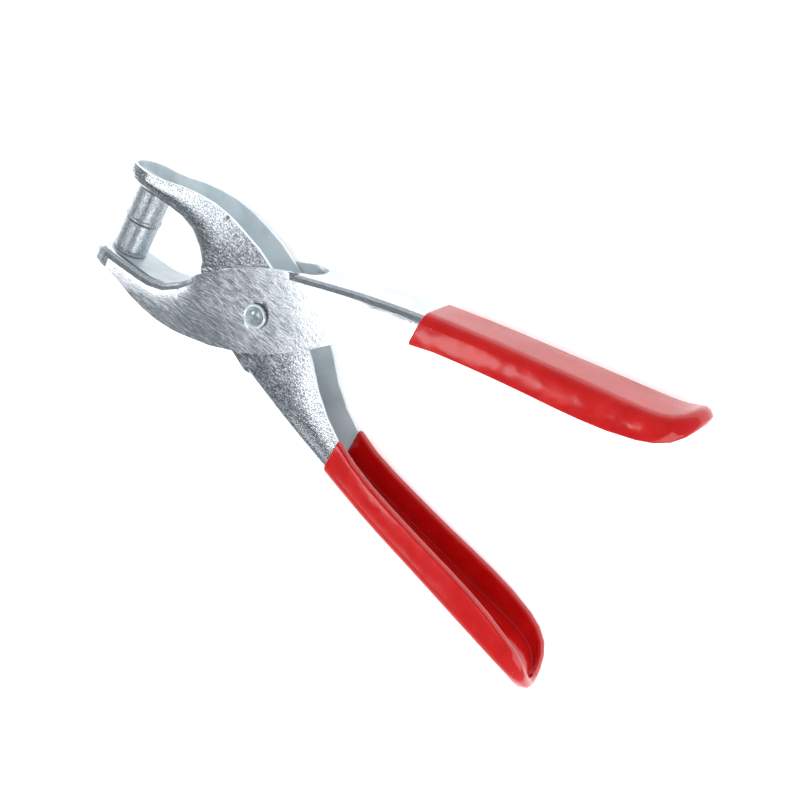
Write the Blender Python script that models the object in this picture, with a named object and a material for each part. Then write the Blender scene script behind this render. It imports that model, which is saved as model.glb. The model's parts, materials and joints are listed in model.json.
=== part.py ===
"""Snap setter pliers: two pressed steel channel arms crossing on one rivet, with dipped grips.

Frame: origin at the middle of the tool's box; +X along the centre line out past the jaw tips,
+Z along the pivot rivet towards its rolled end.  The tool is drawn squeezed shut, dies face to
face.  Everything is laid out from the pivot, whose empty stands PIVOT_X ahead of the origin.
The two arms are mirror twins about the plane y = 0; the outer arm is wide enough to hold the
inner one between its flanges.  Lengths are given in millimetres and multiplied by MM.
"""
import math

import bmesh
import bpy
import numpy as np
from mathutils import Matrix, Vector

MM = 0.001

# ---- driving dimensions (mm) -------------------------------------------------------------
JAW_REACH = 49.0          # pivot axis to die axis
HANDLE_REACH = 118.2      # pivot axis to the end of the steel, along x
SHEET = 1.2               # thickness of the pressed steel
BEND = 2.4                # outside radius of the bends between web and flanges
ARM_GAP = 0.3             # side clearance between the nested arms, and between their webs
PIVOT_HALF = 7.2          # half the outside width of the inner arm at the rivet
FLARE = 3.2               # how much each half of the inner handle widens towards its end
FLARE_OUTER = 1.9         # the same for the outer handle, which starts wider
JAW_TIP = 9.0             # length over which the jaw's plan rounds off
HANDLE_TIP = 15.0         # length over which the handle's plan rounds off

DIE_R = 5.1               # radius of both dies
DIE_REST_GAP = 0.3        # between the die faces when the tool is shut
WEB_Y = 10.5              # outside of each jaw web, measured from the centre line
SEAT_GAP = 0.2            # between pieces clamped together
DIE_LIP = 0.35            # how far the working rim stands out round the ring die
RING_GROOVE = (4.75, 3.7, 0.8)   # outer radius, inner radius, depth of the prong ring groove
PAD_R = 3.2               # radius of the soft pad in the ring die
PAD_DEPTH = 3.4
PAD_SINK = 0.1            # pad face below the die face
SOCKET_BOWL = (4.3, 0.8)  # radius and depth of the recess in the socket die
SOCKET_POST_R = 1.7

SCREW_R = 1.5             # shank of the screws that hold the dies
SCREW_HEAD = (3.3, 1.7)   # radius and height of the head, inside the jaw channel
SCREW_DEPTH = 4.6         # how far the screw reaches into the die
SCREW_SLOT = (0.8, 0.7)   # width and depth of the driver slot
FIT = 0.2                 # radial clearance of a shank in its hole

RIVET_R = 2.5
RIVET_HEAD = (4.7, 1.7)   # factory head: radius, height
RIVET_ROLL = (3.7, 1.1)   # rolled end: radius, height
RIVET_BORE = (1.5, 5.0)   # hollow of the semi-tubular end: radius, depth

WIRE_R = 0.7              # spring wire
SPRING_TURNS = 3          # whole turns, besides the part turn between the legs
SPRING_REACH = 28.0       # where the legs bear on the handle webs

COAT = 0.75               # thickness of the dipped vinyl
COAT_GAP = 0.15           # between vinyl and steel
COAT_BEAD = 1.2           # rise of the rounded edge of the vinyl over the flanges
DIP_OUTER = 42.5          # where the dip line crosses the outer arm, from the pivot
DIP_INNER = 38.0

# Profile of one arm in side view, from jaw tip to handle end.  Each row is one section:
# (x, y) on the web side, (x, y) on the open side, and the share of the handle's flare.
# Jaw rows are measured from the die axis, handle-end rows from the end of the steel.
JAW_ROWS = (
    ((9.1, 0.3), (9.6, 4.5)),
    ((3.6, 0.0), (3.8, 5.0)),
    ((-2.0, 0.0), (-2.0, 5.4)),
    ((-8.2, 0.0), (-9.0, 7.3)),
    ((-14.2, -0.3), (-16.2, 8.7)),
    ((-19.2, -2.0), (-22.5, 9.1)),
)
MIDDLE_ROWS = (
    ((25.4, 4.7), (20.5, 19.0), 0.0),
    ((21.2, -0.3), (14.8, 17.7), 0.0),
    ((13.2, -7.4), (8.2, 15.9), 0.0),
    ((4.9, -13.0), (2.0, 13.2), 0.0),
    ((-4.5, -17.1), (-5.0, 9.8), 0.0),
    ((-12.9, -19.9), (-12.2, 4.5), 0.0),
    ((-19.5, -22.1), (-19.0, -1.3), 0.0),
    ((-26.5, -24.2), (-26.0, -9.1), 0.0),
    ((-34.0, -26.3), (-34.0, -15.5), 0.0),
    ((-43.0, -28.6), (-43.0, -20.1), 0.1),
)
HANDLE_ROWS = (
    ((62.2, -31.6), (62.2, -23.7), 0.36),
    ((43.2, -35.4), (43.2, -27.4), 0.57),
    ((23.2, -39.3), (23.2, -31.1), 0.86),
    ((12.0, -41.5), (10.9, -34.9), 1.0),
    ((5.8, -43.9), (3.6, -39.4), 1.0),
    ((1.6, -48.1), (0.0, -46.0), 1.0),
)
PIVOT_X = (HANDLE_REACH + COAT_GAP + COAT - JAW_REACH - JAW_ROWS[0][1][0]) / 2
THROAT_CLEAR = 0.5        # the jaw bend has gone flat this far before the centre line
SWING_X = -3.0            # the handle bend goes flat here, clear of the other arm's swing
NOTCH_LEN = 2.2           # length of the rounded end of each web
LIP = 0.6                 # straight edge left beside each bend there
FADE = 4.0                # length over which the bend flattens into the side plate
BEND_STEPS = 3
ROUND_SEGMENTS = 32


# ---- smooth curves -----------------------------------------------------------------------
class Spline:
    """Natural cubic through rows of values; runs on straight beyond its ends."""

    def __init__(self, knots, values):
        self.k = np.asarray(knots, float)
        self.v = np.asarray(values, float)
        n = len(self.k)
        h = np.diff(self.k)
        slope = np.diff(self.v, axis=0) / h[:, None]
        a = np.eye(n)
        b = np.zeros_like(self.v)
        for i in range(1, n - 1):
            a[i, i - 1:i + 2] = h[i - 1], 2 * (h[i - 1] + h[i]), h[i]
            b[i] = 6 * (slope[i] - slope[i - 1])
        self.m = np.linalg.solve(a, b)
        self.h = h

    def _inside(self, s):
        i = int(np.clip(np.searchsorted(self.k, s) - 1, 0, len(self.h) - 1))
        h, lo, hi = self.h[i], s - self.k[i], self.k[i + 1] - s
        m0, m1, v0, v1 = self.m[i], self.m[i + 1], self.v[i], self.v[i + 1]
        value = (m0 * hi**3 + m1 * lo**3) / (6 * h) + (v0 / h - m0 * h / 6) * hi \
            + (v1 / h - m1 * h / 6) * lo
        rate = (m1 * lo**2 - m0 * hi**2) / (2 * h) + (v1 - v0) / h - (m1 - m0) * h / 6
        return value, rate

    def at(self, s):
        inner = float(np.clip(s, self.k[0], self.k[-1]))
        value, rate = self._inside(inner)
        return value + rate * (s - inner)


def smooth_step(x):
    x = min(max(x, 0.0), 1.0)
    return x * x * (3 - 2 * x)


class Arm:
    """Side-view profile and plan of one arm, as a run of U-shaped sections."""

    def __init__(self, pivot_half, flare, dip_x):
        self.pivot_half = pivot_half
        rows = [(JAW_REACH + lo[0], WEB_Y + lo[1], JAW_REACH + up[0], WEB_Y + up[1], pivot_half)
                for lo, up in JAW_ROWS]
        rows += [(*lo, *up, pivot_half + flare * share) for lo, up, share in MIDDLE_ROWS]
        rows += [(lo[0] - HANDLE_REACH, lo[1], up[0] - HANDLE_REACH, up[1],
                  pivot_half + flare * share) for lo, up, share in HANDLE_ROWS]
        rows = np.array(rows)
        middle = (rows[:, 0:2] + rows[:, 2:4]) / 2
        run = np.r_[0, np.cumsum(np.hypot(*np.diff(middle, axis=0).T))]
        self.curve = Spline(run, rows)
        self.end = run[-1]
        self.dip = self.find(lambda v: v[0] - dip_x)
        self.web_end = self.find(lambda v: v[1] - THROAT_CLEAR) - NOTCH_LEN - FADE
        self.web_start = self.find(lambda v: v[0] - SWING_X) + NOTCH_LEN + FADE

    def find(self, test):
        """Run length where test(section row) first changes sign."""
        lo, hi = 0.0, self.end
        for _ in range(60):
            mid = (lo + hi) / 2
            lo, hi = (mid, hi) if test(self.curve.at(mid)) > 0 else (lo, mid)
        return (lo + hi) / 2

    def point(self, s, z, height):
        """Point at run s, distance z from the middle plane, height above the web's outside."""
        lx, ly, ux, uy, _ = self.curve.at(s)
        size = math.hypot(ux - lx, uy - ly)
        return (lx + (ux - lx) * height / size, ly + (uy - ly) * height / size, z)

    def depth(self, s):
        lx, ly, ux, uy, _ = self.curve.at(s)
        return math.hypot(ux - lx, uy - ly)

    def half(self, s):
        return self.curve.at(s)[4]

    def perimeter(self, s):
        """Plan position (s, z) of the flange, inward direction and centre-line foot."""
        for tip, length, sign in ((0.0, JAW_TIP, 1), (self.end, HANDLE_TIP, -1)):
            if (s - tip) * sign < length:
                half = self.half(tip + sign * length)
                across = 1 - (s - tip) * sign / length
                z = half * math.sqrt(max(1 - across * across, 0.0))
                inward = np.array([sign * across / length, -z / half**2])
                inward /= np.hypot(*inward)
                foot = tip + sign * (BEND + (length - BEND) * (1 - across))
                return s, z, inward, foot
        return s, self.half(s), np.array([0.0, -1.0]), s

    def stations(self):
        """Run lengths of all sections, close together where the shape turns quickly."""
        cap = [1 - math.cos(math.radians(a)) for a in (0, 15, 30, 45, 60, 75, 90)]
        lip = (0.0, 0.06, 0.25, 0.55, 1.0)
        fade = (0.2, 0.4, 0.6, 0.8, 1.0)
        s = [JAW_TIP * c for c in cap]
        s += [self.end - HANDLE_TIP * c for c in cap]
        s += [self.web_end + NOTCH_LEN * k for k in lip]
        s += [self.web_end + NOTCH_LEN + FADE * k for k in fade]
        s += [self.web_start - NOTCH_LEN * k for k in lip]
        s += [self.web_start - NOTCH_LEN - FADE * k for k in fade]
        s += [self.dip]
        spans = ((JAW_TIP, self.web_end, 5),
                 (self.web_end + NOTCH_LEN + FADE, self.web_start - NOTCH_LEN - FADE, 3),
                 (self.web_start, self.dip, 5), (self.dip, self.end - HANDLE_TIP, 9))
        for a, b, n in spans:
            s += list(np.linspace(a, b, n + 1)[1:-1])
        return sorted(s)

    def web_edge(self, s):
        """(edge z of the web, share of the full bend) at run s; z = 0 means a whole web."""
        if s <= self.web_end or s >= self.web_start:
            return 0.0, 1.0
        into = min(s - self.web_end, self.web_start - s)
        flat = self.half(s) - BEND - LIP
        if into <= NOTCH_LEN:
            return flat * math.sqrt(1 - (1 - into / NOTCH_LEN) ** 2), 1.0
        return flat, 1 - smooth_step((into - NOTCH_LEN) / FADE)

    def section(self, s, out=0.0, bead=0.0):
        """Half section: outer web edge, outside of bend and flange, top, back down the inside.

        out grows the section on every side; bead rounds its top with that rise.
        """
        run, z0, inward, foot = self.perimeter(s)
        edge, share = self.web_edge(s)
        angle = math.pi / 2 * share
        straight = BEND * math.tan((math.pi / 2 - angle) / 2) + LIP * share**3

        def place(inset, height):
            r = run + inward[0] * inset
            return self.point(r, z0 + inward[1] * inset, height)

        def layer(grow):
            pts = []
            for j in range(BEND_STEPS + 1):
                b = angle * j / BEND_STEPS
                n = (math.cos(b), math.sin(b))
                pts.append(place(BEND * (1 - n[0]) + grow * n[0], BEND * (1 - n[1]) + grow * n[1]))
            if share == 1 and edge == 0:
                last = self.point(foot, 0.0, grow)
            elif share == 1:
                last = self.point(run, edge, grow)
            else:
                b, n = angle, (math.cos(angle), math.sin(angle))
                last = place(BEND * (1 - n[0]) + straight * n[1] + grow * n[0],
                             BEND * (1 - n[1]) - straight * n[0] + grow * n[1])
            return pts + [last]

        top = self.depth(run) + out
        thick = SHEET + 2 * out
        if bead is None:
            rim = [place(-out, top), place(thick - out, top)]
        else:
            rim = [place(-out + thick * (1 - math.cos(a)) / 2, top - bead * (1 - math.sin(a)))
                   for a in (math.pi * k / 4 for k in range(5))]
        return layer(-out)[::-1] + rim + layer(SHEET + out)


# ---- mesh helpers ------------------------------------------------------------------------
def new_empty(name, parent=None):
    empty = bpy.data.objects.new(name, None)
    bpy.context.scene.collection.objects.link(empty)
    empty.parent = parent
    return empty


def new_object(name, data, material, parent, place=None):
    """Object under a parent empty, placed by a matrix in the empty's axes."""
    obj = bpy.data.objects.new(name, data)
    bpy.context.scene.collection.objects.link(obj)
    if material:
        data.materials.append(material)
    obj.parent = parent
    if place is not None:
        obj.matrix_basis = place
    return obj


def finish_mesh(bm, name, sharp_deg=40):
    """Weld, face outwards, shade smooth with sharp edges kept."""
    bmesh.ops.remove_doubles(bm, verts=bm.verts, dist=0.0005 * MM)
    bmesh.ops.dissolve_degenerate(bm, edges=bm.edges, dist=0.0005 * MM)
    bmesh.ops.recalc_face_normals(bm, faces=bm.faces)
    mesh = bpy.data.meshes.new(name)
    bm.to_mesh(mesh)
    bm.free()
    mesh.shade_smooth()
    mesh.set_sharp_from_angle(angle=math.radians(sharp_deg))
    return mesh


def skin(bm, rows, open_ends, flip_y):
    """Both halves of a run of half sections; open_ends[i] closes row i to i + 1 by its ends."""
    fy = -1 if flip_y else 1
    for side in (1, -1):
        verts = [[bm.verts.new((p[0] * MM, p[1] * MM * fy, p[2] * MM * side)) for p in row]
                 for row in rows]
        for i, (a, b) in enumerate(zip(verts, verts[1:])):
            for j in range(len(a) - 1):
                bm.faces.new((a[j], a[j + 1], b[j + 1], b[j]))
            if open_ends[i]:
                bm.faces.new((a[-1], a[0], b[0], b[-1]))
    return verts


def arm_mesh(arm, name, flip_y):
    bm = bmesh.new()
    stations = arm.stations()
    rows = [arm.section(s, bead=None) for s in stations]
    closed = [arm.web_edge(a)[0] > 0 or arm.web_edge(b)[0] > 0
              for a, b in zip(stations, stations[1:])]
    skin(bm, rows, closed, flip_y)
    return finish_mesh(bm, name)


def grip_mesh(arm, name, flip_y):
    """Vinyl skin over the end of the arm: an outer skin, a cavity for the steel, a dip edge."""
    bm = bmesh.new()
    stations = [s for s in arm.stations() if s > arm.dip - 1e-6]
    full = COAT_GAP + COAT
    growth = [(arm.dip, full - COAT * 0.5), (arm.dip + COAT * 0.6, full)]
    growth += [(s, full) for s in stations[1:]]
    outer = [arm.section(s, out=g, bead=COAT_BEAD) for s, g in growth]
    inner = [arm.section(s, out=COAT_GAP, bead=0.0) for s in stations]
    no = [False] * len(outer)
    skin(bm, outer, no, flip_y)
    skin(bm, inner, no, flip_y)
    skin(bm, [outer[0], inner[0]], no, flip_y)
    return finish_mesh(bm, name)


def turned(name, profile, segments=ROUND_SEGMENTS, sharp_deg=35):
    """Solid of revolution about local Z; the profile runs (radius, z) from axis to axis."""
    bm = bmesh.new()
    chain = [bm.verts.new((r * MM, 0, z * MM)) for r, z in profile]
    edges = [bm.edges.new(pair) for pair in zip(chain, chain[1:])]
    bmesh.ops.spin(bm, geom=chain + edges, cent=(0, 0, 0), axis=(0, 0, 1),
                   angle=2 * math.pi, steps=segments, use_merge=True, use_duplicate=False)
    return finish_mesh(bm, name, sharp_deg)


def cut(obj, name, cutter_mesh, place):
    """Boolean difference with a hidden cutter placed under the same parent."""
    cutter = new_object(name, cutter_mesh, None, obj.parent, place)
    cutter.hide_render = True
    cutter.display_type = "WIRE"
    mod = obj.modifiers.new(name, "BOOLEAN")
    mod.operation = "DIFFERENCE"
    mod.solver = "EXACT"
    mod.object = cutter


def principled(name, colour, roughness, metallic):
    mat = bpy.data.materials.new(name)
    mat.use_nodes = True
    bsdf = mat.node_tree.nodes["Principled BSDF"]
    bsdf.inputs["Base Color"].default_value = (*colour, 1)
    bsdf.inputs["Roughness"].default_value = roughness
    bsdf.inputs["Metallic"].default_value = metallic
    return mat


# ---- pieces ------------------------------------------------------------------------------
def ring_die_profile(height):
    """Die with a lipped rim, a groove for the prong ring and a bore for the pad."""
    g_out, g_in, g_deep = RING_GROOVE
    lip, soft = DIE_R + DIE_LIP, 0.3
    return [(0, 0), (DIE_R - soft, 0), (DIE_R, soft), (DIE_R, height - 1.1), (lip, height - 0.8),
            (lip, height - 0.25), (lip - 0.25, height), (g_out, height), (g_out, height - g_deep),
            (g_in, height - g_deep), (g_in, height), (PAD_R + FIT, height),
            (PAD_R + FIT, height - PAD_DEPTH), (0, height - PAD_DEPTH)]


def socket_die_profile(height):
    """Die with a foot ring, a bowl for the snap's socket and a low centre post."""
    bowl, deep = SOCKET_BOWL
    return [(0, 0), (DIE_R, 0), (DIE_R, 0.8), (DIE_R - 0.35, 0.95), (DIE_R - 0.35, 1.25),
            (DIE_R, 1.4), (DIE_R, height - 0.3), (DIE_R - 0.3, height), (bowl, height),
            (bowl - 0.4, height - deep), (SOCKET_POST_R, height - deep),
            (SOCKET_POST_R, height - 0.35), (SOCKET_POST_R - 0.3, height - 0.1), (0, height - 0.1)]


def screw_profile():
    """Pan-head screw along +Z: head underside at z = 0, shank towards +Z."""
    r, h = SCREW_HEAD
    dome = [(r * math.cos(a), -h + 0.5 * h * (1 - math.sin(a)))
            for a in (math.radians(k) for k in (75, 50, 25, 0))]
    reach = SHEET + 2 * SEAT_GAP + SCREW_DEPTH
    return [(0, -h)] + dome + [(r, 0), (SCREW_R, 0), (SCREW_R, reach - 0.5),
                               (SCREW_R - 0.5, reach), (0, reach)]


def rivet_profile(face):
    """Semi-tubular rivet: domed head below -face, rolled hollow end above +face."""
    head_r, head_h = RIVET_HEAD
    roll_r, roll_h = RIVET_ROLL
    bore_r, bore_deep = RIVET_BORE
    low, high = -face - SEAT_GAP, face + SEAT_GAP
    dome = [(head_r * math.sin(a), low - 0.35 * head_h - 0.65 * head_h * math.cos(a))
            for a in (math.radians(k) for k in (0, 25, 50, 72, 90))]
    mid = (roll_r + bore_r + 0.75) / 2
    across = roll_r - mid
    roll = [(mid + across * math.cos(a), high + roll_h * (0.35 + 0.65 * math.sin(a)))
            for a in (math.radians(k) for k in (0, 30, 60, 90, 120, 150, 180))]
    top = high + roll_h
    return dome + [(head_r, low), (RIVET_R, low), (RIVET_R, high), (roll_r, high)] + roll \
        + [(bore_r, high - 0.5), (bore_r * 0.9, top - bore_deep), (0, top - bore_deep - 0.6)]


def spring_path():
    """Centre line of the torsion spring: leg, coil round the rivet, leg."""
    radius = RIVET_R + FIT + 0.4 + WIRE_R
    web = OUTER.curve.at(OUTER.find(lambda v: v[0] + SPRING_REACH))
    foot_y = -web[1] - SHEET - WIRE_R - ARM_GAP
    foot = Vector((-SPRING_REACH, foot_y))
    bear = math.atan2(foot.y, foot.x)
    lean = math.acos(radius / foot.length)
    start, stop = -(bear - lean), bear - lean + 2 * math.pi * SPRING_TURNS
    pitch = 2 * WIRE_R + 0.15
    rise = pitch * (stop - start) / (2 * math.pi)
    steps = 16 * SPRING_TURNS + 5
    coil = []
    for i in range(steps + 1):
        a = start + (stop - start) * i / steps
        coil.append(Vector((radius * math.cos(a), radius * math.sin(a), rise * (i / steps - 0.5))))
    along = Vector((-0.96, 0.28)) * 4.0
    ends = []
    for sign, z in ((-1, -rise / 2), (1, rise / 2)):
        tip = Vector((foot.x + along.x, (foot.y + along.y - 0.12 * WIRE_R) * sign, z))
        ends.append([tip, Vector((foot.x, foot.y * sign, z))])
    return ends[0] + coil + ends[1][::-1]


def spring_object(name, path, material, parent):
    curve = bpy.data.curves.new(name, "CURVE")
    curve.dimensions = "3D"
    curve.bevel_depth = WIRE_R * MM
    curve.bevel_resolution = 2
    curve.use_fill_caps = True
    spline = curve.splines.new("POLY")
    spline.points.add(len(path) - 1)
    for point, p in zip(spline.points, path):
        point.co = (p.x * MM, p.y * MM, p.z * MM, 1)
        point.radius = 1
    return new_object(name, curve, material, parent)


OUTER = Arm(PIVOT_HALF + ARM_GAP + SHEET, FLARE_OUTER, -DIP_OUTER)
INNER = Arm(PIVOT_HALF, FLARE, -DIP_INNER)


def main():
    for obj in list(bpy.data.objects):
        bpy.data.objects.remove(obj, do_unlink=True)

    zinc = principled("zinc_plate", (0.70, 0.73, 0.76), 0.26, 1.0)
    die_steel = principled("die_steel", (0.62, 0.63, 0.65), 0.3, 1.0)
    rivet_steel = principled("rivet_steel", (0.72, 0.76, 0.77), 0.2, 1.0)
    spring_steel = principled("spring_steel", (0.3, 0.31, 0.33), 0.35, 1.0)
    vinyl = principled("red_vinyl", (0.72, 0.012, 0.012), 0.16, 0.0)
    nylon = principled("nylon", (0.82, 0.82, 0.78), 0.5, 0.0)

    fixed = new_empty("outer_arm_frame")
    fixed.location.x = PIVOT_X * MM
    swing = new_empty("inner_arm_pivot", fixed)

    # arms, with the rivet holes through their flanges and a screw hole through each jaw web
    outer = new_object("outer_arm", arm_mesh(OUTER, "outer_arm", False), zinc, fixed)
    inner = new_object("inner_arm", arm_mesh(INNER, "inner_arm", True), zinc, swing)
    drill_r, long = RIVET_R + FIT, OUTER.pivot_half + 4
    drill = turned("rivet_drill", [(0, -long), (drill_r, -long), (drill_r, long), (0, long)], 24)
    screw_r = SCREW_R + FIT
    bit = turned("screw_drill", [(0, -3), (screw_r, -3), (screw_r, 3), (0, 3)], 24)
    for arm, sign in ((outer, 1), (inner, -1)):
        cut(arm, arm.name + "_rivet_hole", drill, Matrix.Identity(4))
        turn = Matrix.Rotation(math.radians(90), 4, "X")
        place = Matrix.Translation(Vector((JAW_REACH, sign * WEB_Y, 0)) * MM) @ turn
        cut(arm, arm.name + "_screw_hole", bit, place)

    # dipped grips
    new_object("outer_arm_grip", grip_mesh(OUTER, "outer_arm_grip", False), vinyl, fixed)
    new_object("inner_arm_grip", grip_mesh(INNER, "inner_arm_grip", True), vinyl, swing)

    # pivot rivet and the spring coiled round it
    rivet = turned("pivot_rivet", rivet_profile(OUTER.pivot_half))
    new_object("pivot_rivet", rivet, rivet_steel, fixed)
    spring_object("torsion_spring", spring_path(), spring_steel, fixed)

    # dies, each with its screw; local +Z points from the web to the working face
    height = WEB_Y - SEAT_GAP - DIE_REST_GAP / 2
    dies = ((1, "socket_die", socket_die_profile(height), fixed),
            (-1, "ring_die", ring_die_profile(height), swing))
    hole = turned("die_tap", [(0, -1), (screw_r, -1), (screw_r, SCREW_DEPTH + 0.5),
                              (0, SCREW_DEPTH + 0.5)], 24)
    for sign, name, profile, parent in dies:
        face = Matrix.Rotation(math.radians(90 * sign), 4, "X")
        at_web = Matrix.Translation(Vector((JAW_REACH, sign * (WEB_Y - SEAT_GAP), 0)) * MM) @ face
        die = new_object(name, turned(name, profile), die_steel, parent, at_web)
        cut(die, name + "_tap", hole, at_web)
        under = at_web @ Matrix.Translation(Vector((0, 0, -(SHEET + 2 * SEAT_GAP))) * MM)
        screw = new_object(name + "_screw", turned(name + "_screw", screw_profile(), 24),
                           rivet_steel, parent, under)
        slot_w, slot_d = SCREW_SLOT
        slot = bmesh.new()
        bmesh.ops.create_cube(slot, size=1)
        bmesh.ops.scale(slot, verts=slot.verts,
                        vec=Vector((slot_w, 2 * SCREW_HEAD[0] + 2, 2 * slot_d)) * MM)
        deep = Matrix.Translation(Vector((0, 0, -SCREW_HEAD[1])) * MM)
        cut(screw, name + "_slot", finish_mesh(slot, name + "_slot"), under @ deep)

    # soft pad in the middle of the ring die, just below its face
    pad_h = PAD_DEPTH - SEAT_GAP - PAD_SINK
    pad = [(0, 0), (PAD_R - 0.2, 0), (PAD_R, 0.2), (PAD_R, pad_h - 0.3), (PAD_R - 0.3, pad_h),
           (0, pad_h)]
    bottom = Vector((JAW_REACH, -DIE_REST_GAP / 2 - PAD_SINK - pad_h, 0)) * MM
    new_object("ring_die_pad", turned("ring_die_pad", pad), nylon, swing,
               Matrix.Translation(bottom) @ Matrix.Rotation(math.radians(-90), 4, "X"))


main()
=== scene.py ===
"""Snap setter pliers: the finish and the fine shapes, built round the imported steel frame.

Everything is in metres and in the frame of the pliers: +X runs out along the centre line
past the jaw tips, +Z runs along the pivot rivet towards its rolled end.
"""

import json
import math
from contextlib import contextmanager

import bmesh
import bpy
from mathutils import Euler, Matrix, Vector
from mathutils.bvhtree import BVHTree


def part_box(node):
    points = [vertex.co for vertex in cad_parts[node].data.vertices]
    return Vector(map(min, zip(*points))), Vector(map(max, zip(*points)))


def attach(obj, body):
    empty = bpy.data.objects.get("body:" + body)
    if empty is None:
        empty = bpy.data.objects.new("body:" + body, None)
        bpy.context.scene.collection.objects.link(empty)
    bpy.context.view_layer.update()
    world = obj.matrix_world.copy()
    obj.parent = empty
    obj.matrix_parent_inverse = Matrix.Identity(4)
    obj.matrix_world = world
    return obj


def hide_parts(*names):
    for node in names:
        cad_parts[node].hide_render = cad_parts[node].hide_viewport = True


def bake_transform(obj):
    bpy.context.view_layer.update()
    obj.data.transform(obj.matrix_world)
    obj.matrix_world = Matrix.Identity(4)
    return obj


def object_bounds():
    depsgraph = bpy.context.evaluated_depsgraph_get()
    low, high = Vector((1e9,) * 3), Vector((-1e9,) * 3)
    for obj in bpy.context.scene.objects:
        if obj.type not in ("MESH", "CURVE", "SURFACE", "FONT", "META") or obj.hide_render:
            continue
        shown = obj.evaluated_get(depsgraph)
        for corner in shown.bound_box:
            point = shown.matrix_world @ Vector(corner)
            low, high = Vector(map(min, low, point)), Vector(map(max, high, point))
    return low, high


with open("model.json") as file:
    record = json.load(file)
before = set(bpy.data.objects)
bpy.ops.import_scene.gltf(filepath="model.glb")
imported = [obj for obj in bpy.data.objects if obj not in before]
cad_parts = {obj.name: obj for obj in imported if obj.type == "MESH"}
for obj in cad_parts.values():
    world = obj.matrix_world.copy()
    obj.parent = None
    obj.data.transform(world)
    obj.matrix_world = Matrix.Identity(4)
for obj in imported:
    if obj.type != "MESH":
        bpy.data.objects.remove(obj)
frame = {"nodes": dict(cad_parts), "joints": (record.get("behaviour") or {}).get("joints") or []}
cad_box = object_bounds()

MM = 0.001
PIVOT = Vector(frame["joints"][0]["pos_m"])
OUTER, INNER = "outer_side", "inner_side"
OUTER_FLATS = "outer_flats"   # mesh attribute: 1 on the outer faces of the side plates

WELD = 0.0008 * MM    # points closer together than this are one point
BREAK_ANGLE = 32      # edges that turn by more degrees than this are rounded
CRISP_ANGLE = 50      # edges that turn by more than this stay crisp in the shading
LATHE_SIDES = 96      # flats round a turned piece
RIM_MIDDLE, RIM_THICK = 3.2, 0.5   # rolled rim of the rivet: radii in mm, middle and half width


# ---- workbench habits --------------------------------------------------------------------
def deselect():
    """Nothing stays selected, so the next tool works on its own piece alone."""
    if bpy.context.object and bpy.context.object.mode != "OBJECT":
        bpy.ops.object.mode_set(mode="OBJECT")
    bpy.ops.object.select_all(action="DESELECT")


def pick(piece):
    deselect()
    piece.select_set(True)
    bpy.context.view_layer.objects.active = piece


@contextmanager
def edit(piece, kind="FACE"):
    """Edit mode on one piece, with everything in it selected."""
    pick(piece)
    bpy.ops.object.mode_set(mode="EDIT")
    bpy.ops.mesh.select_mode(type=kind)
    bpy.ops.mesh.select_all(action="SELECT")
    yield
    bpy.ops.object.mode_set(mode="OBJECT")


def select_points(piece, test):
    """In edit mode, selects only the points whose place passes the test."""
    bpy.ops.mesh.select_all(action="DESELECT")
    bm = bmesh.from_edit_mesh(piece.data)
    for point in bm.verts:
        point.select_set(bool(test(point.co)))
    bm.select_flush_mode()
    bmesh.update_edit_mesh(piece.data)


def apply_modifier(piece, kind, **settings):
    pick(piece)
    mod = piece.modifiers.new(kind.lower(), kind)
    for key, value in settings.items():
        setattr(mod, key, value)
    bpy.ops.object.modifier_apply(modifier=mod.name)


def soften_edges(piece, width, segments, angle=BREAK_ANGLE):
    """Rounds every sharp edge by a hair and evens the shading of the flats beside it."""
    apply_modifier(piece, "BEVEL", width=width, segments=segments, limit_method="ANGLE",
                   angle_limit=math.radians(angle), profile=0.5, use_clamp_overlap=True)
    pick(piece)
    bpy.ops.object.shade_smooth_by_angle(angle=math.radians(CRISP_ANGLE))
    apply_modifier(piece, "WEIGHTED_NORMAL", weight=80, keep_sharp=True, mode="FACE_AREA")


def settle(piece):
    """Puts a piece's place, turn and size into its mesh."""
    pick(piece)
    bpy.ops.object.transform_apply(location=True, rotation=True, scale=True)


def worked_copy(node, name):
    """A piece of its own from the solid's mesh, welded and with its flats joined up."""
    piece = bpy.data.objects.new(name, frame["nodes"][node].data.copy())
    bpy.context.scene.collection.objects.link(piece)
    piece.data.materials.clear()
    with edit(piece, "VERT"):
        bpy.ops.mesh.customdata_custom_splitnormals_clear()
        bpy.ops.mesh.remove_doubles(threshold=WELD)
        bpy.ops.mesh.dissolve_degenerate(threshold=WELD)
        bpy.ops.mesh.tris_convert_to_quads(face_threshold=math.radians(6),
                                           shape_threshold=math.radians(60))
    return piece


def hand_over(piece, body, material, node):
    """Gives a finished piece its material and its body, and hides the solid that it stands for.
    """
    piece.data.materials.clear()
    piece.data.materials.append(material)
    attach(piece, body)
    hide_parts(node)


def turned_piece(name, profile, foot, axis):
    """Turns a round piece on the lathe: a disc drawn out ring by ring, from foot along axis."""
    deselect()
    (radius, height), rest = profile[0], profile[1:]
    bpy.ops.mesh.primitive_circle_add(vertices=LATHE_SIDES, radius=radius, fill_type="NGON",
                                      location=(0, 0, 0))
    piece = bpy.context.object
    piece.name = piece.data.name = name
    with edit(piece):
        bpy.ops.transform.translate(value=(0, 0, height))
        for next_radius, next_height in rest:
            bpy.ops.mesh.extrude_region_move(
                TRANSFORM_OT_translate={"value": (0, 0, next_height - height)})
            grow = next_radius / radius
            bpy.ops.transform.resize(value=(grow, grow, 1), center_override=(0, 0, next_height))
            radius, height = next_radius, next_height
        bpy.ops.mesh.select_all(action="SELECT")
        bpy.ops.mesh.normals_make_consistent(inside=False)
    piece.rotation_euler = Vector((0, 0, 1)).rotation_difference(Vector(axis)).to_euler()
    piece.location = foot
    settle(piece)
    return piece


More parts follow.
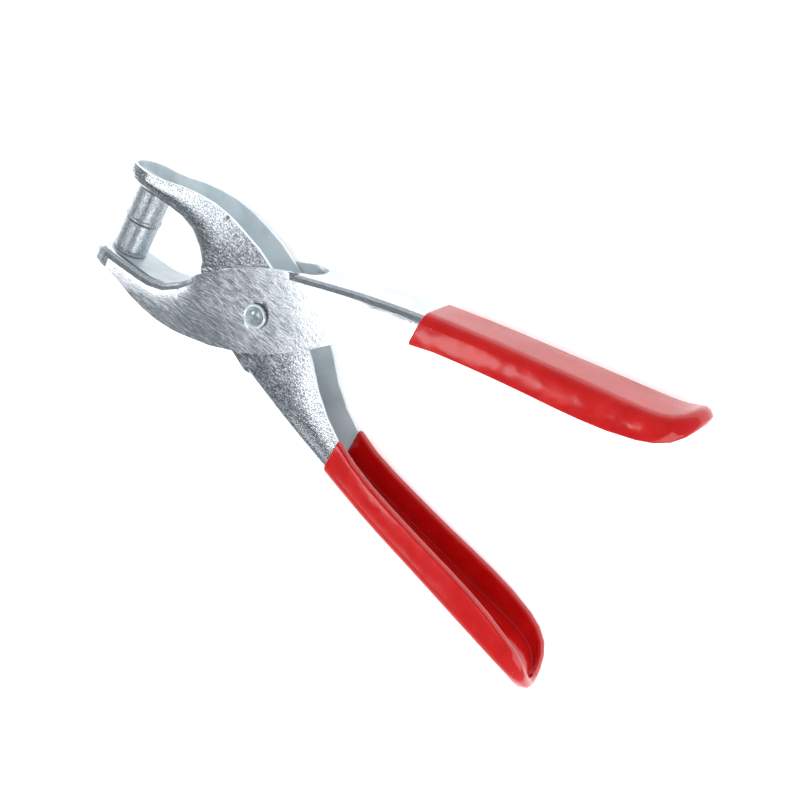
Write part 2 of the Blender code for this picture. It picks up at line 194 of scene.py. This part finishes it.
# ---- shader groups -----------------------------------------------------------------------
def new_group(name, inputs, outputs):
    """An empty shader group with its named sockets; returns it with its two end nodes."""
    group = bpy.data.node_groups.new(name, "ShaderNodeTree")
    for title, kind, value in inputs:
        socket = group.interface.new_socket(title, in_out="INPUT", socket_type=kind)
        socket.default_value = value
    for title, kind in outputs:
        group.interface.new_socket(title, in_out="OUTPUT", socket_type=kind)
    return group, group.nodes.new("NodeGroupInput"), group.nodes.new("NodeGroupOutput")


class Bench:
    """Short hands for wiring the nodes of one tree."""

    def __init__(self, tree):
        self.tree = tree

    def put(self, socket, value):
        if isinstance(value, bpy.types.NodeSocket):
            self.tree.links.new(value, socket)
        else:
            socket.default_value = value

    def node(self, kind, inputs=None, **settings):
        made = self.tree.nodes.new("ShaderNode" + kind)
        for key, value in settings.items():
            setattr(made, key, value)
        for key, value in (inputs or {}).items():
            self.put(made.inputs[key], value)
        return made

    def math(self, operation, a, b=0.5):
        made = self.tree.nodes.new("ShaderNodeMath")
        made.operation = operation
        self.put(made.inputs[0], a)
        self.put(made.inputs[1], b)
        return made.outputs[0]

    def remap(self, value, low, high, to_low=0.0, to_high=1.0):
        made = self.node("MapRange", {"Value": value, "From Min": low, "From Max": high,
                                      "To Min": to_low, "To Max": to_high}, clamp=True)
        return made.outputs["Result"]

    def noise(self, vector, scale, detail=2.0, roughness=0.5, distortion=0.0):
        made = self.node("TexNoise", {"Vector": vector, "Scale": scale, "Detail": detail,
                                      "Roughness": roughness, "Distortion": distortion})
        return made.outputs["Fac"]

    def mapping(self, vector, place=(0, 0, 0), turn=(0, 0, 0), size=(1, 1, 1)):
        made = self.node("Mapping", {"Vector": vector, "Location": place,
                                     "Rotation": Euler([math.radians(t) for t in turn]),
                                     "Scale": size})
        return made.outputs["Vector"]

    def blend(self, share, a, b):
        """Share 0 gives colour a, share 1 gives colour b."""
        made = self.node("Mix", data_type="RGBA")
        factor, colour_a, colour_b, colour_out = 0, 6, 7, 2   # places among the node's sockets
        self.put(made.inputs[factor], share)
        self.put(made.inputs[colour_a], a)
        self.put(made.inputs[colour_b], b)
        return made.outputs[colour_out]

    def group(self, tree, **inputs):
        made = self.tree.nodes.new("ShaderNodeGroup")
        made.node_tree = tree
        for key, value in inputs.items():
            self.put(made.inputs[key.replace("_", " ")], value)
        return made

    def object_space(self):
        return self.node("TexCoord").outputs["Object"]


def plating_spangle_group():
    """Mottled crystal skin of electroplated zinc: dimples, fine grain and larger patches."""
    cell_share, grain_share, patch_share = 0.6, 0.75, 0.5
    finer, coarser = 1.7, 0.22    # grain and patches, as multiples of the dimples' scale
    group, way_in, way_out = new_group(
        "plating spangle",
        [("Vector", "NodeSocketVector", (0, 0, 0)), ("Grain", "NodeSocketFloat", 1500.0)],
        [("Height", "NodeSocketFloat"), ("Tone", "NodeSocketFloat")])
    b = Bench(group)
    vector, grain = way_in.outputs["Vector"], way_in.outputs["Grain"]
    cells = b.node("TexVoronoi", {"Vector": vector, "Scale": grain, "Randomness": 1.0},
                   feature="SMOOTH_F1")
    fine = b.noise(vector, b.math("MULTIPLY", grain, finer), 3.0, 0.65)
    patches = b.noise(vector, b.math("MULTIPLY", grain, coarser), 2.0, 0.5)
    height = b.math("ADD", b.math("MULTIPLY", cells.outputs["Distance"], cell_share),
                    b.math("MULTIPLY", fine, grain_share))
    height = b.math("ADD", height, b.math("MULTIPLY", patches, patch_share))
    b.put(way_out.inputs["Height"], height)
    b.put(way_out.inputs["Tone"], b.remap(fine, 0.4, 0.6))
    return group


def hair_scratch_group():
    """Fine handling scratches that run every way: thin streaks in five turned layers."""
    streak_scale = (260, 9000, 260)   # per metre: long one way and hair thin across
    start, full = 0.75, 0.79          # only the noise's peaks between these become scratches
    wander = 0.0015                   # metres that a scratch strays from straight
    layers = ((12, 0.1), (55, 0.3), (88, 0.5), (131, 0.7), (163, 0.9))   # turn, shift
    group, way_in, way_out = new_group(
        "hair scratches",
        [("Vector", "NodeSocketVector", (0, 0, 0)), ("Amount", "NodeSocketFloat", 0.5)],
        [("Mask", "NodeSocketFloat")])
    b = Bench(group)
    vector, amount = way_in.outputs["Vector"], way_in.outputs["Amount"]
    bend = b.node("TexNoise", {"Vector": vector, "Scale": 160.0, "Detail": 1.0})
    swirl = b.node("VectorMath", {0: bend.outputs["Color"], 1: (0.5, 0.5, 0.5)},
                   operation="SUBTRACT")
    swirl = b.node("VectorMath", {0: swirl.outputs[0], "Scale": wander}, operation="SCALE")
    bent = b.node("VectorMath", {0: vector, 1: swirl.outputs[0]}, operation="ADD").outputs[0]
    total = None
    for turn, shift in layers:
        laid = b.mapping(bent, (shift, shift, 0), (0, 0, turn), streak_scale)
        streak = b.noise(laid, 1.0, 0.0)
        cut = b.remap(streak, b.math("SUBTRACT", start, b.math("MULTIPLY", amount, 0.1)), full)
        total = cut if total is None else b.math("MAXIMUM", total, cut)
    b.put(way_out.inputs["Mask"], total)
    return group


def handling_group():
    """Soft large blotches where hands and the plating bath left the surface uneven."""
    group, way_in, way_out = new_group(
        "handling blotches",
        [("Vector", "NodeSocketVector", (0, 0, 0)), ("Size", "NodeSocketFloat", 120.0)],
        [("Mask", "NodeSocketFloat"), ("Height", "NodeSocketFloat")])
    b = Bench(group)
    big = b.noise(way_in.outputs["Vector"], way_in.outputs["Size"], 3.0, 0.55, 0.4)
    b.put(way_out.inputs["Mask"], b.remap(big, 0.35, 0.68))
    b.put(way_out.inputs["Height"], big)
    return group


SPANGLE = plating_spangle_group()
SCRATCHES = hair_scratch_group()
BLOTCHES = handling_group()


# ---- materials ---------------------------------------------------------------------------
def new_material(name):
    made = bpy.data.materials.new(name)
    made.use_nodes = True
    return made, Bench(made.node_tree), made.node_tree.nodes["Principled BSDF"]


def bump(b, shader, layers):
    """Stacks bump layers, each a height with its depth in metres, onto the shader."""
    normal = None
    for height, depth in layers:
        made = b.node("Bump", {"Height": height, "Strength": 1.0, "Distance": depth})
        if normal is not None:
            b.put(made.inputs["Normal"], normal)
        normal = made.outputs["Normal"]
    b.put(shader.inputs["Normal"], normal)


def zinc_plate(name, scratch, spangle_depth, rough, tint, shade):
    """Bright zinc plating over pressed sheet: spangle, hair scratches, soft blotches.

    The outer flats are worn and spangled: tint is their light grain, and shade says how much
    of it the dark grain keeps. The webs and the inside of the channel are painted paler, a
    lit copy of the plating that stands in for the bright reflection their shade hides, and are
    made duller and less metallic.
    """
    dark_grain = (*(part * shade for part in tint), 1)
    fresh_scratch = (0.93, 0.95, 0.98, 1)
    # painted light: paler colours for the webs and channel insides, in place of the reflection
    # their shade hides
    inside_painted_dim, inside_painted_pale = (0.60, 0.67, 0.70, 1), (0.76, 0.81, 0.84, 1)
    made, b, shader = new_material(name)
    space = b.object_space()
    skin = b.group(SPANGLE, Vector=space, Grain=1600.0)
    hair = b.group(SCRATCHES, Vector=space, Amount=scratch)
    worn = b.group(BLOTCHES, Vector=space, Size=110.0)
    outside = b.node("Attribute", attribute_name=OUTER_FLATS).outputs["Fac"]
    b.put(shader.inputs["Metallic"], b.remap(outside, 0, 1, 0.55, 1.0))
    tone = b.blend(skin.outputs["Tone"], dark_grain, (*tint, 1))
    tone = b.blend(b.math("MULTIPLY", hair.outputs["Mask"], 0.5), tone, fresh_scratch)
    # painted light: the inside faces get the paler lit colours
    inside = b.blend(worn.outputs["Mask"], inside_painted_dim, inside_painted_pale)
    b.put(shader.inputs["Base Color"], b.blend(outside, inside, tone))
    dull = b.math("ADD", b.math("MULTIPLY", worn.outputs["Mask"], 0.08), rough)
    dull = b.math("ADD", dull, b.math("MULTIPLY", hair.outputs["Mask"], 0.1))
    dull = b.math("ADD", dull, b.remap(outside, 0, 1, 0.2, 0.0))
    b.put(shader.inputs["Roughness"], dull)
    bump(b, shader, ((worn.outputs["Height"], 0.00005),
                     (skin.outputs["Height"], spangle_depth),
                     (hair.outputs["Mask"], -0.000002)))
    return made


def die_steel():
    """Turned and plated dies: faint lathe rings, speckle and dull patches."""
    dark_grain, light_grain = (0.26, 0.29, 0.32, 1), (0.72, 0.76, 0.79, 1)
    ring_scale = (60, 9000, 60)   # per metre: the rings lie close together along the axis, Y
    made, b, shader = new_material("plated die steel")
    space = b.object_space()
    skin = b.group(SPANGLE, Vector=space, Grain=1700.0)
    worn = b.group(BLOTCHES, Vector=space, Size=260.0)
    rings = b.noise(b.mapping(space, size=ring_scale), 1.0, 2.0, 0.6)
    shader.inputs["Metallic"].default_value = 1.0
    b.put(shader.inputs["Base Color"], b.blend(skin.outputs["Tone"], dark_grain, light_grain))
    b.put(shader.inputs["Roughness"], b.remap(worn.outputs["Mask"], 0, 1, 0.30, 0.42))
    bump(b, shader, ((rings, 0.000012), (skin.outputs["Height"], 0.00005)))
    return made


def rivet_steel():
    """Bright plated rivet and screws: painted shade in the mouth and a painted shadow round the
    rolled rim.
    """
    plating_low, plating_high = (0.74, 0.80, 0.82, 1), (0.88, 0.92, 0.94, 1)
    # painted shade and shadow: a darker, bluish mouth and a dark ring where the rolled rim meets
    # the plate
    mouth_shade_tint, seam_painted_shadow = (0.42, 0.50, 0.53, 1), (0.06, 0.065, 0.07, 1)
    dish_end, rim_start = (RIM_MIDDLE - 2 * RIM_THICK) * MM, (RIM_MIDDLE - RIM_THICK) * MM
    seam_radius, seam_width = (RIM_MIDDLE + RIM_THICK) * MM, 0.3 * MM
    made, b, shader = new_material("bright rivet plating")
    space = b.object_space()
    hair = b.group(SCRATCHES, Vector=space, Amount=0.5)
    worn = b.group(BLOTCHES, Vector=space, Size=500.0)
    shader.inputs["Metallic"].default_value = 0.75
    flat = b.mapping(space, (-PIVOT.x, -PIVOT.y, 0), size=(1, 1, 0))
    radius = b.node("VectorMath", {0: flat}, operation="LENGTH").outputs["Value"]
    # painted shade: the mouth is painted darker and bluish towards its bottom, as its shade and
    # the reflection inside it
    mouth_shade_share = b.remap(radius, dish_end, rim_start, 0.8, 0.0)
    # painted shadow: a dark ring round the foot of the rolled rim, on the plate
    from_seam = b.math("ABSOLUTE", b.math("SUBTRACT", radius, seam_radius))
    seam_shadow_share = b.remap(from_seam, 0.0, seam_width, 0.85, 0.0)
    skin = b.blend(worn.outputs["Mask"], plating_low, plating_high)
    b.put(shader.inputs["Base Color"], b.blend(seam_shadow_share, b.blend(mouth_shade_share, skin, mouth_shade_tint), seam_painted_shadow))
    b.put(shader.inputs["Roughness"],
          b.math("ADD", b.math("MULTIPLY", hair.outputs["Mask"], 0.1),
                 b.remap(worn.outputs["Mask"], 0, 1, 0.18, 0.26)))
    bump(b, shader, ((worn.outputs["Height"], 0.00001), (hair.outputs["Mask"], -0.000001)))
    return made


def spring_steel():
    """Drawn spring wire, oiled and a little dark, with a finely pitted skin."""
    made, b, shader = new_material("oiled spring wire")
    space = b.object_space()
    worn = b.group(BLOTCHES, Vector=space, Size=700.0)
    shader.inputs["Metallic"].default_value = 1.0
    b.put(shader.inputs["Base Color"],
          b.blend(worn.outputs["Mask"], (0.26, 0.26, 0.27, 1), (0.42, 0.42, 0.43, 1)))
    b.put(shader.inputs["Roughness"], b.remap(worn.outputs["Mask"], 0, 1, 0.25, 0.42))
    bump(b, shader, ((b.noise(space, 5000.0, 3.0, 0.7), 0.00001),))
    return made


def dipped_vinyl():
    """Glossy red vinyl from the dip tank: slow ripples and a few pale pinholes."""
    deep_red, light_red = (0.36, 0.002, 0.002, 1), (0.42, 0.004, 0.004, 1)
    pinhole_red = (0.85, 0.2, 0.18, 1)
    pinhole_core, pinhole_edge = 0.02, 0.05   # radii, as shares of the space between pinholes
    made, b, shader = new_material("dipped red vinyl")
    space = b.object_space()
    slow = b.noise(space, 70.0, 2.0, 0.45)
    quick = b.noise(space, 900.0, 2.0, 0.5)
    pits = b.node("TexVoronoi", {"Vector": space, "Scale": 240.0, "Randomness": 1.0})
    pit = b.remap(pits.outputs["Distance"], pinhole_core, pinhole_edge, 1.0, 0.0)
    worn = b.group(BLOTCHES, Vector=space, Size=160.0)
    red = b.blend(worn.outputs["Mask"], deep_red, light_red)
    b.put(shader.inputs["Base Color"], b.blend(b.math("MULTIPLY", pit, 0.35), red, pinhole_red))
    b.put(shader.inputs["Roughness"], b.remap(worn.outputs["Mask"], 0, 1, 0.11, 0.19))
    shader.inputs["Coat Weight"].default_value = 0.15
    shader.inputs["Coat Roughness"].default_value = 0.08
    shader.inputs["Specular IOR Level"].default_value = 0.45
    shader.inputs["Subsurface Weight"].default_value = 0.06
    shader.inputs["Subsurface Radius"].default_value = (0.0012, 0.0002, 0.0002)
    bump(b, shader, ((slow, 0.0006), (quick, 0.000012), (pit, 0.00002)))
    return made


def nylon():
    """Milky nylon of the soft pad, faintly scuffed."""
    made, b, shader = new_material("milky nylon")
    space = b.object_space()
    worn = b.group(BLOTCHES, Vector=space, Size=500.0)
    b.put(shader.inputs["Base Color"],
          b.blend(worn.outputs["Mask"], (0.74, 0.74, 0.70, 1), (0.84, 0.84, 0.80, 1)))
    b.put(shader.inputs["Roughness"], b.remap(worn.outputs["Mask"], 0, 1, 0.4, 0.6))
    bump(b, shader, ((b.noise(space, 3000.0, 3.0, 0.6), 0.00001),))
    return made


OUTER_ZINC = zinc_plate("zinc plate, scratched", 0.7, 0.000012, 0.11, (0.69, 0.73, 0.77), 0.70)
INNER_ZINC = zinc_plate("zinc plate, spangled", 0.2, 0.000028, 0.09, (0.60, 0.64, 0.68), 0.26)
DIE_STEEL = die_steel()
RIVET_STEEL = rivet_steel()
SPRING_STEEL = spring_steel()
VINYL = dipped_vinyl()
NYLON = nylon()


# ---- arms and grips ----------------------------------------------------------------------
CROWN_DEPTH = 0.38 * MM   # how far the side plates have leaned in where the bend starts
BEND_END = 1.6 * MM       # from the web, where the bend starts
CROWN_REACH = 7.5 * MM    # from the web, where they still lean in
CROWN_START, CROWN_FULL = 12 * MM, 26 * MM   # along the arm, from the pivot
PLATE_START, PLATE_FULL = 0.45, 0.75         # height over the middle, as a share of the width
EDGE_ROUND = 0.26 * MM    # rounding of the cut edges of the sheet
RIM_ROUND = 0.3 * MM      # rounding of the vinyl's rims


def ramp(value, start, full):
    """0 up to start, 1 from full on, and even in between."""
    return min(max((value - start) / (full - start), 0), 1)


def crown_side_plates(piece):
    """Leans the side plates gently in towards each web, as the press leaves them."""
    upright, web_share = 0.3, 0.6   # a web face stands upright and lies near the middle
    with edit(piece):
        bpy.ops.mesh.subdivide(number_cuts=3)
    mesh = piece.data
    widest = max(abs(v.co.z) for v in mesh.vertices)
    web = [tuple(f.vertices) for f in mesh.polygons
           if abs(f.normal.z) < upright and abs(f.center.z) < web_share * widest]
    tree = BVHTree.FromPolygons([v.co.copy() for v in mesh.vertices], web)
    for v in mesh.vertices:
        _, _, _, away = tree.find_nearest(v.co)
        near = 1 - ramp(away, BEND_END, CROWN_REACH)
        side = ramp(abs(v.co.z) / widest, PLATE_START, PLATE_FULL)
        along = ramp(abs(v.co.x - PIVOT.x), CROWN_START, CROWN_FULL)
        v.co.z -= math.copysign(CROWN_DEPTH * near * near * side * along, v.co.z)


def mark_outer_flats(piece):
    """Marks the outer faces of the side plates: they face away from the middle of the arm."""
    clearly_outward = 1.5 * MM   # height over the middle times the upward share of the normal
    mark = piece.data.attributes.new(OUTER_FLATS, "FLOAT", "FACE")
    for face in piece.data.polygons:
        outward = face.normal.z * face.center.z
        mark.data[face.index].value = float(outward > clearly_outward)


def pressed_arm(node, name, body, material):
    """A pressed channel arm with the cut edges of its sheet rounded by the tumbling barrel."""
    piece = worked_copy(node, name)
    crown_side_plates(piece)
    soften_edges(piece, EDGE_ROUND, 3)
    mark_outer_flats(piece)
    hand_over(piece, body, material, node)


def dipped_grip(node, name, body):
    """A dipped grip: full round rims and a soft step where the vinyl starts."""
    piece = worked_copy(node, name)
    soften_edges(piece, RIM_ROUND, 3, 40)
    hand_over(piece, body, VINYL, node)


# ---- turned pieces: profiles are (radius, height) in mm ------------------------------------
DIE_R = 5.1           # body of both dies
DIE_EDGE = 0.25       # rounding of a die's foot and lip
TAP_R = 1.7           # tapped hole for the screw
TAP_DEPTH = 5.1
RECESS = 0.78         # depth of the ring groove and of the bowl
BREAK = 0.05          # break of a cut edge
CENTRE_R = 0.02       # a profile ends this close to its axis


def in_metres(profile):
    return [(max(r, CENTRE_R) * MM, h * MM) for r, h in profile]


def arc(centre, radius, start, stop, steps):
    """Points (radius, height) along an arc of a turned profile, angles in degrees."""
    turns = [math.radians(start + (stop - start) * i / steps) for i in range(steps + 1)]
    return [(centre[0] + radius[0] * math.cos(t), centre[1] + radius[1] * math.sin(t))
            for t in turns]


def ring_die(height):
    """Lipped die with the groove for the prong ring, cut away where the pad sits."""
    lip_r, well_r, well_depth = 5.2, 3.4, 3.36
    groove_top, groove_floor = height - BREAK, height - RECESS
    edge = arc((DIE_R - DIE_EDGE, DIE_EDGE), (DIE_EDGE, DIE_EDGE), -90, 0, 3)
    waist = [(DIE_R, height - 1.15), (DIE_R + 0.02, height - 1.05)]
    lip = arc((lip_r, groove_floor), (DIE_EDGE, 0.22), -60, 0, 3) \
        + arc((lip_r, height - DIE_EDGE), (DIE_EDGE, DIE_EDGE), 0, 90, 4)
    groove = [(4.78, height), (4.74, groove_top), (4.72, groove_floor), (3.74, groove_floor),
              (3.72, groove_top), (3.68, height)]
    well = [(well_r + 0.04, height), (well_r, height - BREAK), (well_r, height - well_depth),
            (0, height - well_depth)]
    return edge + waist + lip + groove + well


def socket_die(height):
    """Plain die with a foot ring, a bowl for the socket and a low post."""
    face_edge, post_r, floor = 0.28, 1.7, height - RECESS
    foot = arc((DIE_R - DIE_EDGE, DIE_EDGE), (DIE_EDGE, DIE_EDGE), -90, 0, 3) \
        + [(DIE_R, 0.72)] + arc((DIE_R, 1.1), (0.36, 0.3), -90, -270, 6) + [(DIE_R, 1.46)]
    face = arc((DIE_R - face_edge, height - face_edge), (face_edge, face_edge), 0, 90, 4)
    bowl = [(4.34, height), (4.28, height - BREAK), (3.95, floor + 0.04), (3.85, floor)]
    post = [(post_r + 0.04, floor), (post_r, floor + 0.06), (post_r, height - 0.36),
            (post_r - 0.08, height - 0.2), (1.4, height - 0.12), (0, height - 0.1)]
    return foot + face + bowl + post


def die(node, name, profile, body):
    """Turns a die from its web end to its working face, and taps it for its screw."""
    low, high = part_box(node)
    inward = -1 if (low[1] + high[1]) > 0 else 1
    foot_y = high[1] if inward < 0 else low[1]
    foot = ((low[0] + high[0]) / 2, foot_y, (low[2] + high[2]) / 2)
    height = (high[1] - low[1]) / MM
    tap = [(0, TAP_DEPTH), (TAP_R - 0.02, TAP_DEPTH), (TAP_R, TAP_DEPTH - BREAK), (TAP_R, 0.06),
           (TAP_R + 0.02, 0)]
    piece = turned_piece(name, in_metres(tap + profile(height)), foot, (0, inward, 0))
    soften_edges(piece, 0.03 * MM, 2)
    hand_over(piece, body, DIE_STEEL, node)


HEAD_DOME, HEAD_BAND = 1.1, 0.6   # heights of the factory head: its dome, its straight band
ROLL_HEIGHT = 1.1     # rolled rim over the side plate
SHANK_R = 2.5
SPLITS = ((228, 0.90), (243, 0.93), (292, 0.90), (68, 0.94), (150, 0.95))  # angle, pull inwards
SPLIT_HALF = 2.6      # half width of a split, in degrees


def rivet_profile(head_r, base, top):
    """Domed head at the base, shank, rolled rim over the plate and a shallow mouth."""
    shoulder, plate = base + HEAD_DOME + HEAD_BAND, top - ROLL_HEIGHT
    dome = [(head_r * math.sin(turn), shoulder - HEAD_BAND - HEAD_DOME * math.cos(turn))
            for turn in map(math.radians, (1, 12, 24, 36, 48, 60, 72, 82, 90))]
    shank = [(head_r, shoulder - 0.12), (head_r - 0.1, shoulder), (SHANK_R, shoulder),
             (SHANK_R, plate), (3.62, plate + 0.02)]
    roll = arc((RIM_MIDDLE, plate + 0.35), (RIM_THICK, 0.75), 0, 165, 12)
    mouth = [(2.6, plate + 0.2), (2.42, plate - 0.2), (2.2, plate - 0.6), (1.9, plate - 1.0),
             (1.45, plate - 1.35), (0.8, plate - 1.6), (0, plate - 1.7)]
    return dome + shank + roll + mouth


def pivot_rivet():
    """Semi-tubular rivet: domed head below, rolled mouth above with the splits of its roll."""
    low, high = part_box("pivot_rivet")
    head_r, base, top = (high[0] - low[0]) / 2 / MM, low[2] / MM, high[2] / MM
    piece = turned_piece("pivot_rivet_turned", in_metres(rivet_profile(head_r, base, top)),
                         PIVOT, (0, 0, 1))
    plate = top - ROLL_HEIGHT
    rim_low, rim_high = (plate + 0.05) * MM, (plate + 0.75) * MM
    with edit(piece, "VERT"):
        for angle, pull in SPLITS:
            def on_split(point):
                x, y = point.x - PIVOT.x, point.y - PIVOT.y
                off = (math.degrees(math.atan2(y, x)) - angle + 180) % 360 - 180
                outer = math.hypot(x, y) > 3.3 * MM
                return outer and abs(off) < SPLIT_HALF and rim_low < point.z < rim_high
            select_points(piece, on_split)
            bpy.ops.transform.resize(value=(pull, pull, 1), center_override=PIVOT)
    soften_edges(piece, 0.04 * MM, 2)
    hand_over(piece, OUTER, RIVET_STEEL, "pivot_rivet")


def small_piece(node, name, body, material, width):
    """A screw or pad: the solid welded up and its edges broken."""
    piece = worked_copy(node, name)
    soften_edges(piece, width, 2)
    hand_over(piece, body, material, node)


def torsion_spring():
    """The spring wire drawn smooth."""
    piece = worked_copy("torsion_spring", "torsion_spring_wire")
    apply_modifier(piece, "SUBSURF", levels=1, render_levels=1)
    pick(piece)
    bpy.ops.object.shade_smooth_by_angle(angle=math.radians(60))
    piece.data.materials.append(SPRING_STEEL)
    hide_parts("torsion_spring")
    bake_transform(piece)


pressed_arm("outer_arm", "outer_arm_pressing", OUTER, OUTER_ZINC)
pressed_arm("inner_arm", "inner_arm_pressing", INNER, INNER_ZINC)
dipped_grip("outer_arm_grip", "outer_arm_grip_skin", OUTER)
dipped_grip("inner_arm_grip", "inner_arm_grip_skin", INNER)
die("ring_die", "ring_die_turned", ring_die, INNER)
die("socket_die", "socket_die_turned", socket_die, OUTER)
pivot_rivet()
torsion_spring()
for screw, side in (("ring_die_screw", INNER), ("socket_die_screw", OUTER)):
    small_piece(screw, screw + "_head", side, RIVET_STEEL, 0.1 * MM)
small_piece("ring_die_pad", "ring_die_pad_moulded", INNER, NYLON, 0.08 * MM)


# ---- studio ------------------------------------------------------------------------------
def panel(name, centre, size, radiance, turn=0.0, shows=True):
    """A soft panel lamp facing down, placed from the pivot; one that doesn't show stays out
    of reflections."""
    data = bpy.data.lights.new(name, "AREA")
    data.shape = "RECTANGLE"
    data.size, data.size_y = size
    data.energy = radiance * size[0] * size[1] * math.pi
    lamp = bpy.data.objects.new(name, data)
    bpy.context.scene.collection.objects.link(lamp)
    lamp.location = PIVOT + Vector(centre)
    lamp.rotation_euler = (0, 0, math.radians(turn))
    lamp.visible_glossy = shows
    return lamp


def studio_floor():
    """A plain pale floor just under the pliers; its faint glow keeps the shadows light."""
    lowest = cad_box[0][2]
    deselect()
    bpy.ops.mesh.primitive_plane_add(size=6.0, location=(0, 0, lowest - 0.1 * MM))
    floor = bpy.context.object
    floor.name = "studio_floor"
    made, _, shader = new_material("pale floor")
    shader.inputs["Base Color"].default_value = (0.9, 0.9, 0.9, 1)
    shader.inputs["Roughness"].default_value = 0.9
    shader.inputs["Specular IOR Level"].default_value = 0.1
    shader.inputs["Emission Color"].default_value = (1, 1, 1, 1)
    shader.inputs["Emission Strength"].default_value = 0.4
    floor.data.materials.append(made)


def studio_room():
    """A room that is pale near the floor and darker overhead."""
    pale_walls, grey_ceiling = (0.62, 0.65, 0.68, 1), (0.27, 0.29, 0.31, 1)
    world = bpy.data.worlds.new("studio")
    world.use_nodes = True
    b = Bench(world.node_tree)
    back = world.node_tree.nodes["Background"]
    height = b.node("SeparateXYZ", {"Vector": b.node("TexCoord").outputs["Generated"]})
    overhead = b.remap(height.outputs["Z"], 0.28, 0.68)
    b.put(back.inputs["Color"], b.blend(overhead, pale_walls, grey_ceiling))
    bpy.context.scene.world = world


def studio_lamps():
    """Soft fill from all round, and the softboxes that the plating and the grips mirror."""
    panel("overhead_fill", (0.0, 0.0, 1.1), (1.8, 1.8), 1.15, shows=False)
    for name, where, lean, radiance in (("left_wall", (-1.2, 0, 0.5), (0, -70, 0), 1.2),
                                        ("right_wall", (1.2, 0, 0.5), (0, 70, 0), 1.2),
                                        ("near_wall", (0, -1.2, 0.5), (70, 0, 0), 0.5),
                                        ("far_wall", (0, 1.2, 0.5), (-70, 0, 0), 1.2)):
        wall = panel(name, where, (1.6, 1.6), radiance, shows=False)
        wall.rotation_euler = [math.radians(t) for t in lean]
    panel("long_softbox", (0.112, 0.159, 0.5), (0.132, 0.12), 4.2, turn=-34.0)
    panel("tip_softbox", (0.3325, 0.141, 0.5), (0.15, 0.12), 3.0, turn=17.0)
    panel("low_softbox", (0.14, 0.44, 0.5), (0.13, 0.14), 1.6)
    panel("grip_glint", (-0.063, 0.119, 0.5), (0.04, 0.025), 9.0, turn=-34.0)
    window = panel("handle_window", (-0.42, 0.12, 0.33), (0.34, 0.3), 2.2)
    window.rotation_euler = (PIVOT - window.location).to_track_quat("-Z", "Y").to_euler()


def studio_camera():
    """Looks down on the pliers from beside the handles, with the jaws at the upper left."""
    camera = bpy.data.cameras.new("camera")
    camera.sensor_width = 36
    camera.lens = 63
    camera.clip_start = 0.01
    eye = bpy.data.objects.new("camera", camera)
    bpy.context.scene.collection.objects.link(eye)
    eye.location = PIVOT + Vector((-0.139504, -0.154517, 0.341463))
    eye.rotation_euler = [math.radians(a) for a in (-13.0749, 24.7698, -150.3812)]
    bpy.context.scene.camera = eye
    bpy.context.scene.view_settings.view_transform = "Standard"


studio_floor()
studio_room()
studio_lamps()
studio_camera()
